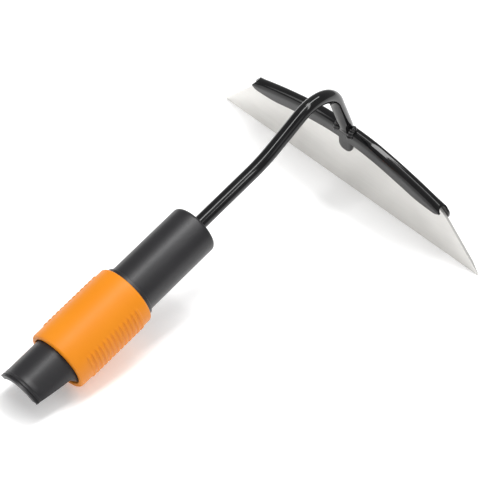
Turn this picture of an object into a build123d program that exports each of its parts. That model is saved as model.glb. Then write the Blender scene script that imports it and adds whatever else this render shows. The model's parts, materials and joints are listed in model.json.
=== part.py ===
from build123d import *
import math
import os

# Grub hoe head with a quick coupling, in millimetres.
# Every piece is first built in the coupling's own frame: +X runs along the coupling
# from the open tongue to the neck, +Z is up through the middle of the tongue, and
# X = 0 is the front rim of the sliding sleeve. The finished head is then tipped onto
# its cutting edge and sleeve, the way it lies on a bench.

# Coupling body
BODY_R = 17.0
BODY_END_X = 124.0
BODY_END_FILLET = 2.8
TONGUE_R = 17.3
TONGUE_TIP_X = -31.0
TONGUE_TIP_CUT_Z = 8.4
TONGUE_ROOT_CUT_X = -5.0
TONGUE_ROOT_CUT_Z = 3.6
SHOULDER_BEND_X = 0.8
SHOULDER_BEND_Z = -5.6
SHOULDER_FOOT_X = 1.8
TONGUE_LIP_WIDTH = 2.0
TONGUE_LIP_HEIGHT = 0.45
LEAD_R = 14.5
SOCKET_R = 14.0
SOCKET_START_X = 26.0
SOCKET_FLOOR_X = 58.0
HOLDER_SEAT_X = 62.5

# Neck holder bonded into the back of the body
HOLDER_FLANGE = 6.0
HOLDER_CORE_R = 8.5
HOLDER_RIB = 3.0
HOLDER_RIBS = 4
HOLDER_FIRST_RIB_ANGLE = 45.0
PIN_R = 2.0
PIN_HALF_LENGTH = 12.5
PIN_X = 92.0

# Sliding sleeve
SLEEVE_R = 21.2
SLEEVE_LENGTH = 61.4
SLEEVE_RIM_FILLET = 1.5
SLEEVE_BORE_R = 20.0
MOUTH_R = 18.0
MOUTH_LIP = 2.5
REAR_LIP_START_X = 57.0
GUIDE_R = 18.6
GRIP_RIBS = 13
GRIP_RIB_FIRST_X = 11.2
GRIP_RIB_PITCH = 3.5
GRIP_RIB_WIDTH = 2.2
GRIP_RIB_TOP_WIDTH = 1.1
GRIP_RIB_HEIGHT = 0.45
GRIP_RIB_HALF_ANGLE = 36.0

# Lock work under the sleeve
CAM_END_X = 27.0
CAM_RELIEF_R = 19.3
CAM_RELIEF_END_X = 8.5
CAM_LAND_R = 17.95
CAM_LAND_X = 20.0
CAM_GUIDE_R = 17.3
CAM_GUIDE_X = 23.5
BALL_R = 2.5
BALL_X = 20.5
BALL_CENTRE_R = 15.3
BALL_HOLE_R = 2.55
BALL_SEAT_R = 2.41
BALL_SEAT_TOP_R = 14.9
BALL_ANGLES = {"top_left": 150, "top_right": 30, "bottom": 270}
STOP_GROOVE_R = 16.2
STOP_GROOVE_X = 53.2
STOP_GROOVE_WIDTH = 1.8
STOP_RING_R = 19.4
STOP_RING_GAP_ANGLE = 24.0
BUSH_FRONT_X = 55.3
BUSH_FLANGE_R = 19.9
BUSH_END_X = 64.5
BUSH_BORE_R = 17.25
BUSH_RIM_FILLET = 0.5
SPRING_R = 18.35
SPRING_WIRE_R = 0.8
SPRING_TURNS = 6.0
CLEARANCE = 0.05

# How far cutting shapes reach past the material
OVERCUT = 1.0

# Neck rod
ROD_R = 4.7
ROD_START_X = 66.0
ROD_AXIS_Z = 0.4
RISE_CORNER_X = 186.3
RISE_ANGLE = 15.1
RISE_RADIUS = 83.6
RISE_STRAIGHT = 26.6
CROOK_RADIUS = 27.6
CROOK_DOWN_ANGLE = 78.0

# Blade, in its own plane: y across, height up from the cutting edge
EDGE_X = 263.2
EDGE_Z = -116.1
BLADE_LEAN = 86.85
BLADE_THICKNESS = 2.0
BLADE_HALF_WIDTH = 115.0
BLADE_SHOULDER_HALF_WIDTH = 84.9
BLADE_SHOULDER_HEIGHT = 40.0
BLADE_EDGE_LAND = 0.3
BLADE_BEVEL = 9.0
BLADE_CORNER_CUT = 1.2
BLADE_TOP_DROP = 4.7

# Folded spine over the top of the blade: half outlines, centre first, then outwards
SHEET = 1.5
SPINE_BACK = 2.55
SPINE_FRONT = 6.2
RIDGE = [(0, 69.2), (20, 68.2), (33, 65.9), (46, 62.7), (59, 58.9), (72, 54.5), (80, 51.4)]
RIDGE_PAST_END = (91.0, 47.0)
FLAP_EDGE = [(0, 57.8), (12, 57.4), (30, 54.7), (49, 49.9), (62, 46.4), (73, 45.2),
             (80, 45.2), (85, 47.2)]
BACK_EDGE = [(0, 46.0), (30, 43.5), (60, 39.4), (76, 37.2), (82.0, 37.0), (85.4, 39.4)]
SPINE_END = (85.4, 43.5)
SPINE_FLOOR = 28.0

# Tang: the neck rod's end, pressed flat between the front flap and the blade
TANG_AXIS_OFFSET = 2.85
TANG_THICKNESS = 3.5
TANG_HALF_WIDTH = 5.8
TANG_HALF_DEPTH = 2.7
TANG_BEND_RADIUS = 8.0
TANG_ROUND_END = 68.8
TANG_FLAT_START = 61.5
TANG_TIP_CENTRE = 49.0
TANG_TIP_DEPTH = 5.4
NECK_HOLE_CLEARANCE = 0.08

# Weld beads at the sides of the neck, on the fold of the spine
WELD_R = 2.5
WELD_SIDE = 6.0
WELD_HIGH = (70.6, 2.6)
WELD_LOW = (65.4, 6.0)


def tube(outer_r, inner_r, start_x, end_x):
    """A round tube along the coupling's axis."""
    ring = Plane.YZ.offset(start_x) * (Circle(outer_r) - Circle(inner_r))
    return extrude(ring, amount=end_x - start_x)


def rod_along_x(radius, start_x, end_x):
    """A round bar along the coupling's axis."""
    return extrude(Plane.YZ.offset(start_x) * Circle(radius), amount=end_x - start_x)


def turned(profile):
    """A solid turned about the coupling's axis from (x, radius) corners."""
    outline = Polyline(*[(x, 0, r) for x, r in profile], close=True)
    return revolve(make_face(outline), axis=Axis.X)


def ball_hole(angle):
    """The radial hole of one latch ball, narrowed at its inner end to keep the ball."""
    straight_top = BODY_R + OVERCUT
    narrow_bottom = LEAD_R - OVERCUT
    taper = (BALL_HOLE_R - BALL_SEAT_R) / (BALL_SEAT_TOP_R - LEAD_R)
    bottom_r = BALL_SEAT_R - taper * (LEAD_R - narrow_bottom)
    outline = Polyline(
        (0, narrow_bottom), (bottom_r, narrow_bottom), (BALL_HOLE_R, BALL_SEAT_TOP_R),
        (BALL_HOLE_R, straight_top), (0, straight_top), close=True,
    )
    hole = revolve(Plane.XZ * make_face(outline), axis=Axis.Z)
    return Rot(X=90 - angle) * hole.moved(Location((BALL_X, 0, 0)))


def connector_body():
    """The moulded body: round grip, spigot socket, and the half-round tongue in front."""
    body = rod_along_x(BODY_R, TONGUE_ROOT_CUT_X, BODY_END_X)
    body = fillet(body.edges().group_by(Axis.X)[-1], BODY_END_FILLET)
    body += rod_along_x(TONGUE_R, TONGUE_TIP_X, 0)
    lip_end = TONGUE_TIP_X + TONGUE_LIP_WIDTH
    body += rod_along_x(TONGUE_R + TONGUE_LIP_HEIGHT, TONGUE_TIP_X, lip_end)
    body -= rod_along_x(LEAD_R, TONGUE_TIP_X, SOCKET_START_X)
    body -= rod_along_x(SOCKET_R, SOCKET_START_X, SOCKET_FLOOR_X)
    body -= rod_along_x(SOCKET_R, HOLDER_SEAT_X, BODY_END_X)
    reach = 2 * BODY_R
    under = Polyline(
        (TONGUE_TIP_X - OVERCUT, TONGUE_TIP_CUT_Z), (TONGUE_ROOT_CUT_X, TONGUE_ROOT_CUT_Z),
        (SHOULDER_BEND_X, SHOULDER_BEND_Z), (SHOULDER_FOOT_X, -TONGUE_R - OVERCUT),
        (TONGUE_TIP_X - OVERCUT, -TONGUE_R - OVERCUT), close=True,
    )
    body -= extrude(Plane.XZ * make_face(under), amount=reach, both=True)
    body -= tube(BODY_R + OVERCUT, STOP_GROOVE_R, STOP_GROOVE_X, STOP_GROOVE_X + STOP_GROOVE_WIDTH)
    for angle in BALL_ANGLES.values():
        body -= ball_hole(angle)
    return body


def neck_holder():
    """The ribbed plastic plug that is bonded into the body and grips the neck rod."""
    outer_r = SOCKET_R - CLEARANCE
    holder = rod_along_x(HOLDER_CORE_R, HOLDER_SEAT_X, BODY_END_X)
    holder += rod_along_x(outer_r, HOLDER_SEAT_X, HOLDER_SEAT_X + HOLDER_FLANGE)
    holder += rod_along_x(outer_r, BODY_END_X - HOLDER_FLANGE, BODY_END_X)
    length = BODY_END_X - HOLDER_SEAT_X
    middle = (BODY_END_X + HOLDER_SEAT_X) / 2
    for index in range(HOLDER_RIBS):
        angle = HOLDER_FIRST_RIB_ANGLE + 360 * index / HOLDER_RIBS
        rib = Box(length, outer_r, HOLDER_RIB, align=(Align.CENTER, Align.MIN, Align.CENTER))
        holder += Rot(X=angle) * Pos(middle, 0, 0) * rib
    holder &= rod_along_x(outer_r, HOLDER_SEAT_X, BODY_END_X)
    rod_hole = rod_along_x(ROD_R + CLEARANCE, ROD_START_X - CLEARANCE, BODY_END_X)
    holder -= Pos(0, 0, ROD_AXIS_Z) * rod_hole
    return holder - cross_pin(CLEARANCE)


def cross_pin(extra=0.0):
    """The steel pin that crosses the neck rod inside the holder."""
    pin = Cylinder(PIN_R + extra, 2 * (PIN_HALF_LENGTH + extra))
    return Pos(PIN_X, 0, ROD_AXIS_Z) * Rot(X=90) * pin


def locking_sleeve():
    """The sliding sleeve: rounded rims, a mouth lip, a rear lip and side grip ribs."""
    sleeve = rod_along_x(SLEEVE_R, 0, SLEEVE_LENGTH)
    sleeve = fillet(sleeve.edges().filter_by(GeomType.CIRCLE), SLEEVE_RIM_FILLET)
    sleeve -= rod_along_x(MOUTH_R, 0, MOUTH_LIP)
    sleeve -= rod_along_x(SLEEVE_BORE_R, MOUTH_LIP, REAR_LIP_START_X)
    sleeve -= rod_along_x(GUIDE_R, REAR_LIP_START_X, SLEEVE_LENGTH)
    wedge = grip_wedge()
    for index in range(GRIP_RIBS):
        x = GRIP_RIB_FIRST_X + index * GRIP_RIB_PITCH
        top = SLEEVE_R + GRIP_RIB_HEIGHT
        half_top = GRIP_RIB_TOP_WIDTH / 2
        half_foot = GRIP_RIB_WIDTH / 2
        foot = SLEEVE_R - GRIP_RIB_HEIGHT
        rib = turned([(x - half_foot, foot), (x - half_top, top), (x + half_top, top),
                      (x + half_foot, foot)])
        sleeve += rib & wedge
    return sleeve


def grip_wedge():
    """The space at the sleeve's two sides that the grip ribs fill."""
    reach = 2 * SLEEVE_R
    rise = reach * math.tan(math.radians(GRIP_RIB_HALF_ANGLE))
    outline = Polyline((0, 0), (reach, rise), (reach, -rise), close=True)
    side = extrude(Plane.YZ * make_face(outline), amount=SLEEVE_LENGTH)
    return side + mirror(side, Plane.XZ)


def cam_ring():
    """The steel ring in the sleeve whose cone presses the latch balls inwards."""
    return turned([
        (MOUTH_LIP, CAM_RELIEF_R), (CAM_RELIEF_END_X, CAM_RELIEF_R), (CAM_LAND_X, CAM_LAND_R),
        (CAM_GUIDE_X, CAM_LAND_R), (CAM_GUIDE_X, CAM_GUIDE_R), (CAM_END_X, CAM_GUIDE_R),
        (CAM_END_X, SLEEVE_BORE_R - CLEARANCE), (MOUTH_LIP, SLEEVE_BORE_R - CLEARANCE),
    ])


def guide_bush():
    """The black bush that is pressed into the sleeve's rear lip and runs on the body."""
    bush = tube(BUSH_FLANGE_R, BUSH_BORE_R, BUSH_FRONT_X, REAR_LIP_START_X)
    bush += tube(GUIDE_R - CLEARANCE, BUSH_BORE_R, REAR_LIP_START_X, BUSH_END_X)
    outer_rim = bush.edges().group_by(Axis.X)[-1].sort_by(SortBy.RADIUS)[-1]
    return fillet(outer_rim, BUSH_RIM_FILLET)


def retaining_ring():
    """The open snap ring in the body's groove that stops the sleeve and backs the spring."""
    start = STOP_GROOVE_X + CLEARANCE
    end = STOP_GROOVE_X + STOP_GROOVE_WIDTH - CLEARANCE
    ring = tube(STOP_RING_R, STOP_GROOVE_R + CLEARANCE, start, end)
    reach = 2 * STOP_RING_R
    half = reach * math.tan(math.radians(STOP_RING_GAP_ANGLE / 2))
    gap = Plane.YZ.offset(start - OVERCUT) * make_face(
        Polyline((0, 0), (half, -reach), (-half, -reach), close=True))
    return ring - extrude(gap, amount=end - start + 2 * OVERCUT)


def return_spring():
    """The compression spring that pushes the sleeve forward over the balls."""
    front = CAM_END_X + SPRING_WIRE_R + CLEARANCE
    back = STOP_GROOVE_X - SPRING_WIRE_R
    pitch = (back - front) / SPRING_TURNS
    path = Helix(pitch, back - front, SPRING_R)
    wire = Plane(origin=path @ 0, z_dir=path % 0) * Circle(SPRING_WIRE_R)
    coil = sweep(wire, path=path)
    return Pos(front, 0, 0) * Rot(Y=90) * coil


def latch_ball(angle):
    """One steel ball, standing in its hole and pressed in by the cam ring."""
    a = math.radians(angle)
    centre = (BALL_X, -BALL_CENTRE_R * math.cos(a), BALL_CENTRE_R * math.sin(a))
    return Pos(*centre) * Sphere(BALL_R)


def blade_frame():
    """Blade plane: local X across, local Y up the blade, local Z towards the handle."""
    lean = math.radians(BLADE_LEAN)
    up = Vector(math.cos(lean), 0, math.sin(lean))
    across = Vector(0, -1, 0)
    return Plane(origin=Vector(EDGE_X, 0, EDGE_Z), x_dir=across, z_dir=across.cross(up))


def mirrored_points(points, drop=0.0):
    """The points of a half outline and their mirror images, from left to right."""
    left = [(-y, height - drop) for y, height in reversed(points) if y > 0]
    return left + [(y, height - drop) for y, height in points]


def region_under(top, bottom):
    """The face between a curved upper outline and a curved lower outline."""
    sides = [Line(top[-1], bottom[-1]), Line(bottom[0], top[0])]
    return make_face([Spline(*top), Spline(*bottom), *sides])


def blade():
    """The tapered steel blade with its sharpened lower edge."""
    top = mirrored_points(RIDGE, BLADE_TOP_DROP)
    slope = (BLADE_HALF_WIDTH - BLADE_SHOULDER_HALF_WIDTH) / BLADE_SHOULDER_HEIGHT
    end_y, end_height = top[-1]
    shoulder_height = (BLADE_HALF_WIDTH - end_y) / slope
    shoulder = (end_y, min(shoulder_height, end_height))
    corner = (BLADE_HALF_WIDTH - slope * BLADE_CORNER_CUT, BLADE_CORNER_CUT)
    foot = (BLADE_HALF_WIDTH - BLADE_CORNER_CUT, 0)
    right = [shoulder, corner, foot]
    left = [(-y, height) for y, height in reversed(right)]
    sides = Polyline(top[-1], *right, *left, top[0])
    face = make_face([Spline(*top), *sides.edges()])
    frame = blade_frame()
    half = BLADE_THICKNESS / 2
    plate = extrude(frame * face, amount=half, both=True)
    land = half - BLADE_EDGE_LAND
    wedge = Polyline(
        (-half - OVERCUT, -OVERCUT), (land, -OVERCUT), (land, 0), (-half, BLADE_BEVEL),
        (-half - OVERCUT, BLADE_BEVEL), close=True,
    )
    side = Plane(origin=frame.origin, x_dir=frame.z_dir, z_dir=-frame.x_dir)
    plate -= extrude(side * make_face(wedge), amount=BLADE_HALF_WIDTH + OVERCUT, both=True)
    return plate - neck_solid(NECK_HOLE_CLEARANCE)


def folded_block(back, front, drop, past_end):
    """The solid under the ridge between two depths, with its top rounded over."""
    half_ridge = RIDGE + past_end
    top = mirrored_points(half_ridge, drop)
    end_y = max(SPINE_END[0], half_ridge[-1][0])
    right = [(end_y, SPINE_END[1]), (end_y, SPINE_FLOOR)]
    left = [(-y, height) for y, height in reversed(right)]
    sides = Polyline(top[-1], *right, *left, top[0])
    face = make_face([Spline(*top), *sides.edges()])
    block = extrude(Pos(0, 0, -back) * face, amount=back + front)
    ridge = block.faces().sort_by(Axis.Y)[-1]
    long_edges = ridge.edges().sort_by(SortBy.LENGTH)[-2:]
    radius = (back + front) / 2 - CLEARANCE / 2
    return fillet(long_edges, radius)


def flap_cut(edge, depth):
    """The space under a flap's lower edge, from the blade's middle out to a depth."""
    top = mirrored_points(edge)
    reach = RIDGE_PAST_END[0]
    right = [(reach, top[-1][1]), (reach, SPINE_FLOOR - OVERCUT)]
    left = [(-y, height) for y, height in reversed(right)]
    sides = Polyline(top[-1], *right, *left, top[0])
    return extrude(make_face([Spline(*top), *sides.edges()]), amount=depth)


def spine_channel():
    """The folded sheet over the blade's top edge, open at its ends and below."""
    outer = folded_block(SPINE_BACK, SPINE_FRONT, 0, [])
    inner = folded_block(SPINE_BACK - SHEET, SPINE_FRONT - SHEET, SHEET, [RIDGE_PAST_END])
    sheet = outer - inner
    sheet -= flap_cut(FLAP_EDGE, SPINE_FRONT + OVERCUT)
    sheet -= flap_cut(BACK_EDGE, -SPINE_BACK - OVERCUT)
    return blade_frame() * sheet - neck_solid(NECK_HOLE_CLEARANCE)


def neck_path():
    """Centre line of the neck rod, from inside the holder to the start of its tang."""
    rise = math.radians(RISE_ANGLE)
    lead = RISE_RADIUS * math.tan(rise / 2)
    start = Vector(ROD_START_X, 0, ROD_AXIS_Z)
    bend = Vector(RISE_CORNER_X, 0, ROD_AXIS_Z)
    along = Vector(math.cos(rise), 0, math.sin(rise))
    down_angle = math.radians(CROOK_DOWN_ANGLE)
    down = Vector(math.cos(down_angle), 0, -math.sin(down_angle))
    crook_lead = CROOK_RADIUS * math.tan((rise + down_angle) / 2)
    crook = bend + along * (lead + RISE_STRAIGHT + crook_lead)
    frame = blade_frame()
    tang_line = frame.origin + frame.z_dir * TANG_AXIS_OFFSET
    reach = (tang_line - crook).dot(frame.z_dir) / down.dot(frame.z_dir)
    meet = crook + down * reach
    tip = tang_line + frame.y_dir * TANG_ROUND_END
    return FilletPolyline(start, bend, crook, meet, tip,
                          radius=[RISE_RADIUS, CROOK_RADIUS, TANG_BEND_RADIUS])


def tang(extra):
    """The rod's end below the ridge: round at its top and pressed flat lower down."""
    frame = blade_frame()
    lower = TANG_TIP_CENTRE - TANG_TIP_DEPTH - OVERCUT
    across = Plane(origin=frame.origin + frame.z_dir * TANG_AXIS_OFFSET,
                   x_dir=frame.x_dir, z_dir=frame.y_dir)
    oval = Ellipse(TANG_HALF_WIDTH + extra, TANG_HALF_DEPTH + extra)
    round_end = across.offset(TANG_ROUND_END) * Circle(ROD_R + extra)
    flat_start = across.offset(TANG_FLAT_START) * oval
    shape = loft([round_end, flat_start])
    shape += extrude(flat_start, amount=lower - TANG_FLAT_START)
    half = TANG_THICKNESS / 2 + extra
    wide = ROD_R + extra + CLEARANCE
    sides = Polyline((half, lower), (half, TANG_FLAT_START), (wide, TANG_ROUND_END),
                     (-wide, TANG_ROUND_END), (-half, TANG_FLAT_START), (-half, lower),
                     close=True)
    side = Plane(origin=across.origin, x_dir=frame.z_dir, z_dir=-frame.x_dir)
    shape &= extrude(side * make_face(sides), amount=2 * ROD_R, both=True)
    end = Pos(0, TANG_TIP_CENTRE) * Ellipse(TANG_HALF_WIDTH + extra, TANG_TIP_DEPTH + extra)
    reach = 2 * ROD_R
    end += Pos(0, TANG_TIP_CENTRE) * Rectangle(
        2 * reach, TANG_ROUND_END - TANG_TIP_CENTRE, align=(Align.CENTER, Align.MIN))
    return shape & extrude(frame * end, amount=reach, both=True)


def neck_solid(extra=0.0):
    """The bent rod with its tang, grown by extra for the openings that it passes."""
    path = neck_path()
    section = Plane(origin=path @ 0, z_dir=path % 0) * Circle(ROD_R + extra)
    return sweep(section, path=path) + tang(extra)


def neck_rod():
    """The bent steel rod that joins the coupling to the blade, drilled for its pin."""
    return neck_solid() - cross_pin(CLEARANCE)


def weld_bead(side):
    """One weld bead, lying in the corner between the neck and the spine's fold."""
    frame = blade_frame()
    high = Vector(side * WELD_SIDE, *WELD_HIGH)
    low = Vector(side * WELD_SIDE, *WELD_LOW)
    run = low - high
    bead = Plane(origin=high, z_dir=run.normalized()) * Cylinder(
        WELD_R, run.length, align=(Align.CENTER, Align.CENTER, Align.MIN))
    bead += Pos(*high) * Sphere(WELD_R) + Pos(*low) * Sphere(WELD_R)
    return frame * bead


def neck_weld_beads():
    """Two weld beads that join the neck rod to the spine, one on each side."""
    frame = blade_frame()
    ridge = folded_block(SPINE_BACK + CLEARANCE, SPINE_FRONT + CLEARANCE, -CLEARANCE, [])
    beads = []
    for side in (-1, 1):
        bead = weld_bead(side) - frame * ridge - neck_solid(CLEARANCE)
        beads.append(bead.solids().sort_by(SortBy.VOLUME)[-1])
    return Compound(children=beads)


def resting_tilt():
    """Angle that the coupling's axis rises at when the head lies on edge and sleeve."""
    frame = blade_frame()
    edge = frame.origin + frame.z_dir * BLADE_THICKNESS / 2
    run = edge.X - SLEEVE_RIM_FILLET
    fall = SLEEVE_RIM_FILLET - SLEEVE_R - edge.Z
    slope = math.atan2(fall, run)
    return math.degrees(slope - math.asin(SLEEVE_RIM_FILLET / math.hypot(run, fall)))


def build():
    """All pieces of the head by name, in the coupling's frame."""
    pieces = {
        "blade": blade(),
        "spine_channel": spine_channel(),
        "neck_rod": neck_rod(),
        "neck_weld_beads": neck_weld_beads(),
        "connector_body": connector_body(),
        "neck_holder": neck_holder(),
        "neck_pin": cross_pin(),
        "locking_sleeve": locking_sleeve(),
        "cam_ring": cam_ring(),
        "guide_bush": guide_bush(),
        "return_spring": return_spring(),
        "retaining_ring": retaining_ring(),
    }
    for name, angle in BALL_ANGLES.items():
        pieces["latch_ball_" + name] = latch_ball(angle)
    return pieces


def placed(pieces):
    """The pieces tipped into the resting pose, over the middle of their own footprint."""
    tipped = {name: Rot(Y=-resting_tilt()) * piece for name, piece in pieces.items()}
    boxes = [piece.bounding_box() for piece in tipped.values()]
    low_x = min(box.min.X for box in boxes)
    high_x = max(box.max.X for box in boxes)
    low_z = min(box.min.Z for box in boxes)
    shift = Pos(-(low_x + high_x) / 2, 0, -low_z)
    return {name: shift * piece for name, piece in tipped.items()}


os.makedirs("parts", exist_ok=True)
for name, piece in placed(build()).items():
    export_step(piece, "parts/" + name + ".step")
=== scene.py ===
import json
import logging
import math
from dataclasses import dataclass, field
from enum import Enum
from typing import Callable, Iterable, Sequence

import bmesh
import bpy
from mathutils import Matrix, Vector


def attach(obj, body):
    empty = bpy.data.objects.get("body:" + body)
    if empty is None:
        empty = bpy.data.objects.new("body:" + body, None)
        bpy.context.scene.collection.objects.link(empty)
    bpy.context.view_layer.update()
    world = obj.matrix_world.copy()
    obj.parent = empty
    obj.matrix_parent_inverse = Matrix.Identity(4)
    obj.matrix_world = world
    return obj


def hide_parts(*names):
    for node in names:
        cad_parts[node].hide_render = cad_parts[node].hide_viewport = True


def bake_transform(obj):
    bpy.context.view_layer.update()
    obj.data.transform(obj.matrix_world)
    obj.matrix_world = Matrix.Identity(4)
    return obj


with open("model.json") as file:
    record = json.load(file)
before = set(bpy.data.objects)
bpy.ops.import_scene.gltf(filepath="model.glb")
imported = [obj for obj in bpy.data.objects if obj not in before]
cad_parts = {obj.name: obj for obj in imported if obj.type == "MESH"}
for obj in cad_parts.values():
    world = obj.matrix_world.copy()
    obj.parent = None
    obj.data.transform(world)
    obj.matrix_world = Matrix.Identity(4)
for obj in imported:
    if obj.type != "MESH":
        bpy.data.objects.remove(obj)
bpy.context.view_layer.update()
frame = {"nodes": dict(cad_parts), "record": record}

MM = 0.001
# Lengths in metres that count as nothing.
TINY = 1e-6
LOG = logging.getLogger("grub_hoe")

Pair = tuple[float, float]
Colour = tuple[float, float, float]


class Slot(Enum):
    """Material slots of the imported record."""

    BLADE_STEEL = "blade_steel"
    BLACK_ENAMEL = "black_enamel"
    BODY_PLASTIC = "body_plastic"
    SLEEVE_PLASTIC = "sleeve_plastic"
    SPRING_STEEL = "spring_steel"
    LOCK_STEEL = "lock_steel"


class Body(Enum):
    """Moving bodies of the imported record."""

    HEAD = "head"
    SLEEVE = "sleeve"


# ---------------------------------------------------------------- shader helpers


class ShaderSheet:
    """A node material with one Principled shader, and short ways to add nodes to it."""

    def __init__(self, name: str) -> None:
        """Starts an empty sheet.

        Args:
            name: Name of the material.
        """
        self.material = bpy.data.materials.new(name)
        self.material.use_nodes = True
        self.tree = self.material.node_tree
        self.shader = self.tree.nodes["Principled BSDF"]
        self.place = self.tree.nodes.new("ShaderNodeTexCoord")

    def node(self, kind: str, **inputs: object) -> bpy.types.Node:
        """Adds a node.

        Args:
            kind: Blender's name for the node type.
            **inputs: Values for its input sockets, with underscores for spaces.

        Returns:
            The new node.
        """
        made = self.tree.nodes.new(kind)
        for key, value in inputs.items():
            made.inputs[key.replace("_", " ")].default_value = value
        return made

    def link(self, out_socket: bpy.types.NodeSocket, in_socket: bpy.types.NodeSocket) -> None:
        """Joins two sockets."""
        self.tree.links.new(out_socket, in_socket)

    def stretched(self, scale: Sequence[float], turn: float = 0.0) -> bpy.types.NodeSocket:
        """Object coordinates turned about Y and stretched.

        Args:
            scale: How many texture units a metre holds along each axis.
            turn: Turn about the Y axis in radians, before the stretch.

        Returns:
            The vector socket to feed a texture with.
        """
        turned = self.node("ShaderNodeMapping")
        turned.inputs["Rotation"].default_value = (0.0, turn, 0.0)
        self.link(self.place.outputs["Object"], turned.inputs["Vector"])
        sized = self.node("ShaderNodeMapping")
        sized.inputs["Scale"].default_value = tuple(scale)
        self.link(turned.outputs["Vector"], sized.inputs["Vector"])
        return sized.outputs["Vector"]

    def noise(self, vector: bpy.types.NodeSocket, detail: float,
              rough: float = 0.55) -> bpy.types.NodeSocket:
        """A noise texture.

        Args:
            vector: Where it is read, in texture units.
            detail: Number of finer layers.
            rough: Weight of the finer layers.

        Returns:
            Its grey value.
        """
        made = self.node("ShaderNodeTexNoise", Scale=1.0, Detail=detail, Roughness=rough)
        self.link(vector, made.inputs["Vector"])
        return made.outputs["Fac"]

    def spread(self, value: bpy.types.NodeSocket, low: Pair, high: Pair) -> bpy.types.NodeSocket:
        """Maps a value from one range to another, clamped.

        Args:
            value: The value to map.
            low: Input value and the output for it.
            high: Input value and the output for it.

        Returns:
            The mapped value.
        """
        made = self.node("ShaderNodeMapRange")
        made.inputs["From Min"].default_value, made.inputs["To Min"].default_value = low
        made.inputs["From Max"].default_value, made.inputs["To Max"].default_value = high
        self.link(value, made.inputs["Value"])
        return made.outputs["Result"]

    def blend(self, share: bpy.types.NodeSocket, first: Colour | bpy.types.NodeSocket,
              second: Colour | bpy.types.NodeSocket) -> bpy.types.NodeSocket:
        """Mixes two colours.

        Args:
            share: 0 for the first colour and 1 for the second.
            first: A colour or a colour socket.
            second: A colour or a colour socket.

        Returns:
            The mixed colour.
        """
        made = self.tree.nodes.new("ShaderNodeMix")
        made.data_type = "RGBA"
        self.link(share, made.inputs["Factor"])
        # The node has sockets of the same names for other data, so the colours go by index.
        for index, colour in ((6, first), (7, second)):
            if isinstance(colour, tuple):
                made.inputs[index].default_value = (*colour, 1.0)
            else:
                self.link(colour, made.inputs[index])
        return made.outputs[2]

    def edge_wear_and_groove_shade(self) -> bpy.types.NodeSocket:
        """How outward each point's edge is: above 0.5 on outer edges, near it on flats and below it
        in grooves; it drives both the rubbed edges and the painted shade in grooves.
        """
        return self.tree.nodes.new("ShaderNodeNewGeometry").outputs["Pointiness"]

    def bump(self, height: bpy.types.NodeSocket, depth: float, strength: float = 1.0,
             below: bpy.types.NodeSocket | None = None) -> bpy.types.NodeSocket:
        """A bump layer.

        Args:
            height: Height from 0 to 1.
            depth: Real depth in metres.
            strength: Blender's strength.
            below: The normal of the layer below.

        Returns:
            The bumped normal.
        """
        made = self.node("ShaderNodeBump", Strength=strength, Distance=depth)
        self.link(height, made.inputs["Height"])
        if below is not None:
            self.link(below, made.inputs["Normal"])
        return made.outputs["Normal"]

    def finish(self, **sockets: object) -> bpy.types.Material:
        """Sets the Principled shader's sockets.

        Args:
            **sockets: Values or node sockets by socket name, underscores for spaces.

        Returns:
            The finished material.
        """
        for key, value in sockets.items():
            target = self.shader.inputs[key.replace("_", " ")]
            if isinstance(value, bpy.types.NodeSocket):
                self.link(value, target)
            elif isinstance(value, tuple) and len(value) == 3:
                target.default_value = (*value, 1.0)
            else:
                target.default_value = value
        return self.material


# ---------------------------------------------------------------- finishes


@dataclass(frozen=True)
class GroundSteel:
    """Satin blade steel with fine grinding lines that run across the blade."""

    light: Colour = (0.75, 0.74, 0.715)
    dark: Colour = (0.61, 0.60, 0.578)
    line_tone: Colour = (0.86, 0.855, 0.835)
    lean: float = 0.0
    line_pitch: float = 0.35 * MM

    def material(self) -> bpy.types.Material:
        """Makes the steel.

        Returns:
            The material.
        """
        sheet = ShaderSheet("ground_blade_steel")
        fine = 1.0 / self.line_pitch
        lines = sheet.noise(sheet.stretched((fine, fine * 0.012, fine), self.lean), 3.0)
        coarse = sheet.noise(sheet.stretched((400.0, 9.0, 400.0), self.lean), 3.0)
        clouds = sheet.noise(sheet.stretched((14.0, 14.0, 14.0)), 3.0)
        tone = sheet.spread(clouds, (0.32, 0.0), (0.68, 1.0))
        base = sheet.blend(tone, self.dark, self.light)
        streak = sheet.spread(lines, (0.3, 0.0), (0.7, 0.22))
        colour = sheet.blend(streak, base, self.line_tone)
        roughness = sheet.spread(coarse, (0.3, 0.36), (0.7, 0.46))
        normal = sheet.bump(lines, 0.012 * MM, 0.35)
        return sheet.finish(Base_Color=colour, Metallic=0.7, Roughness=roughness, Normal=normal,
                            Anisotropic=0.45)


@dataclass(frozen=True)
class BlackEnamel:
    """Gloss black enamel over steel, with a faint flow texture."""

    base: Colour = (0.002, 0.002, 0.0024)
    worn: Colour = (0.006, 0.006, 0.0065)
    gloss: float = 0.065

    def material(self) -> bpy.types.Material:
        """Makes the enamel.

        Returns:
            The material.
        """
        sheet = ShaderSheet("gloss_black_enamel")
        flow = sheet.noise(sheet.stretched((90.0, 90.0, 90.0)), 2.0)
        specks = sheet.noise(sheet.stretched((1500.0, 1500.0, 1500.0)), 2.0)
        tone = sheet.spread(flow, (0.35, 0.0), (0.75, 1.0))
        colour = sheet.blend(tone, self.base, self.worn)
        roughness = sheet.spread(specks, (0.3, self.gloss), (0.75, self.gloss + 0.04))
        soft = sheet.bump(flow, 0.10 * MM, 0.35)
        normal = sheet.bump(specks, 0.006 * MM, 0.3, soft)
        return sheet.finish(Base_Color=colour, Metallic=0.0, Roughness=roughness, Normal=normal,
                            IOR=1.41, Coat_Weight=0.10, Coat_Roughness=0.04)


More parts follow.
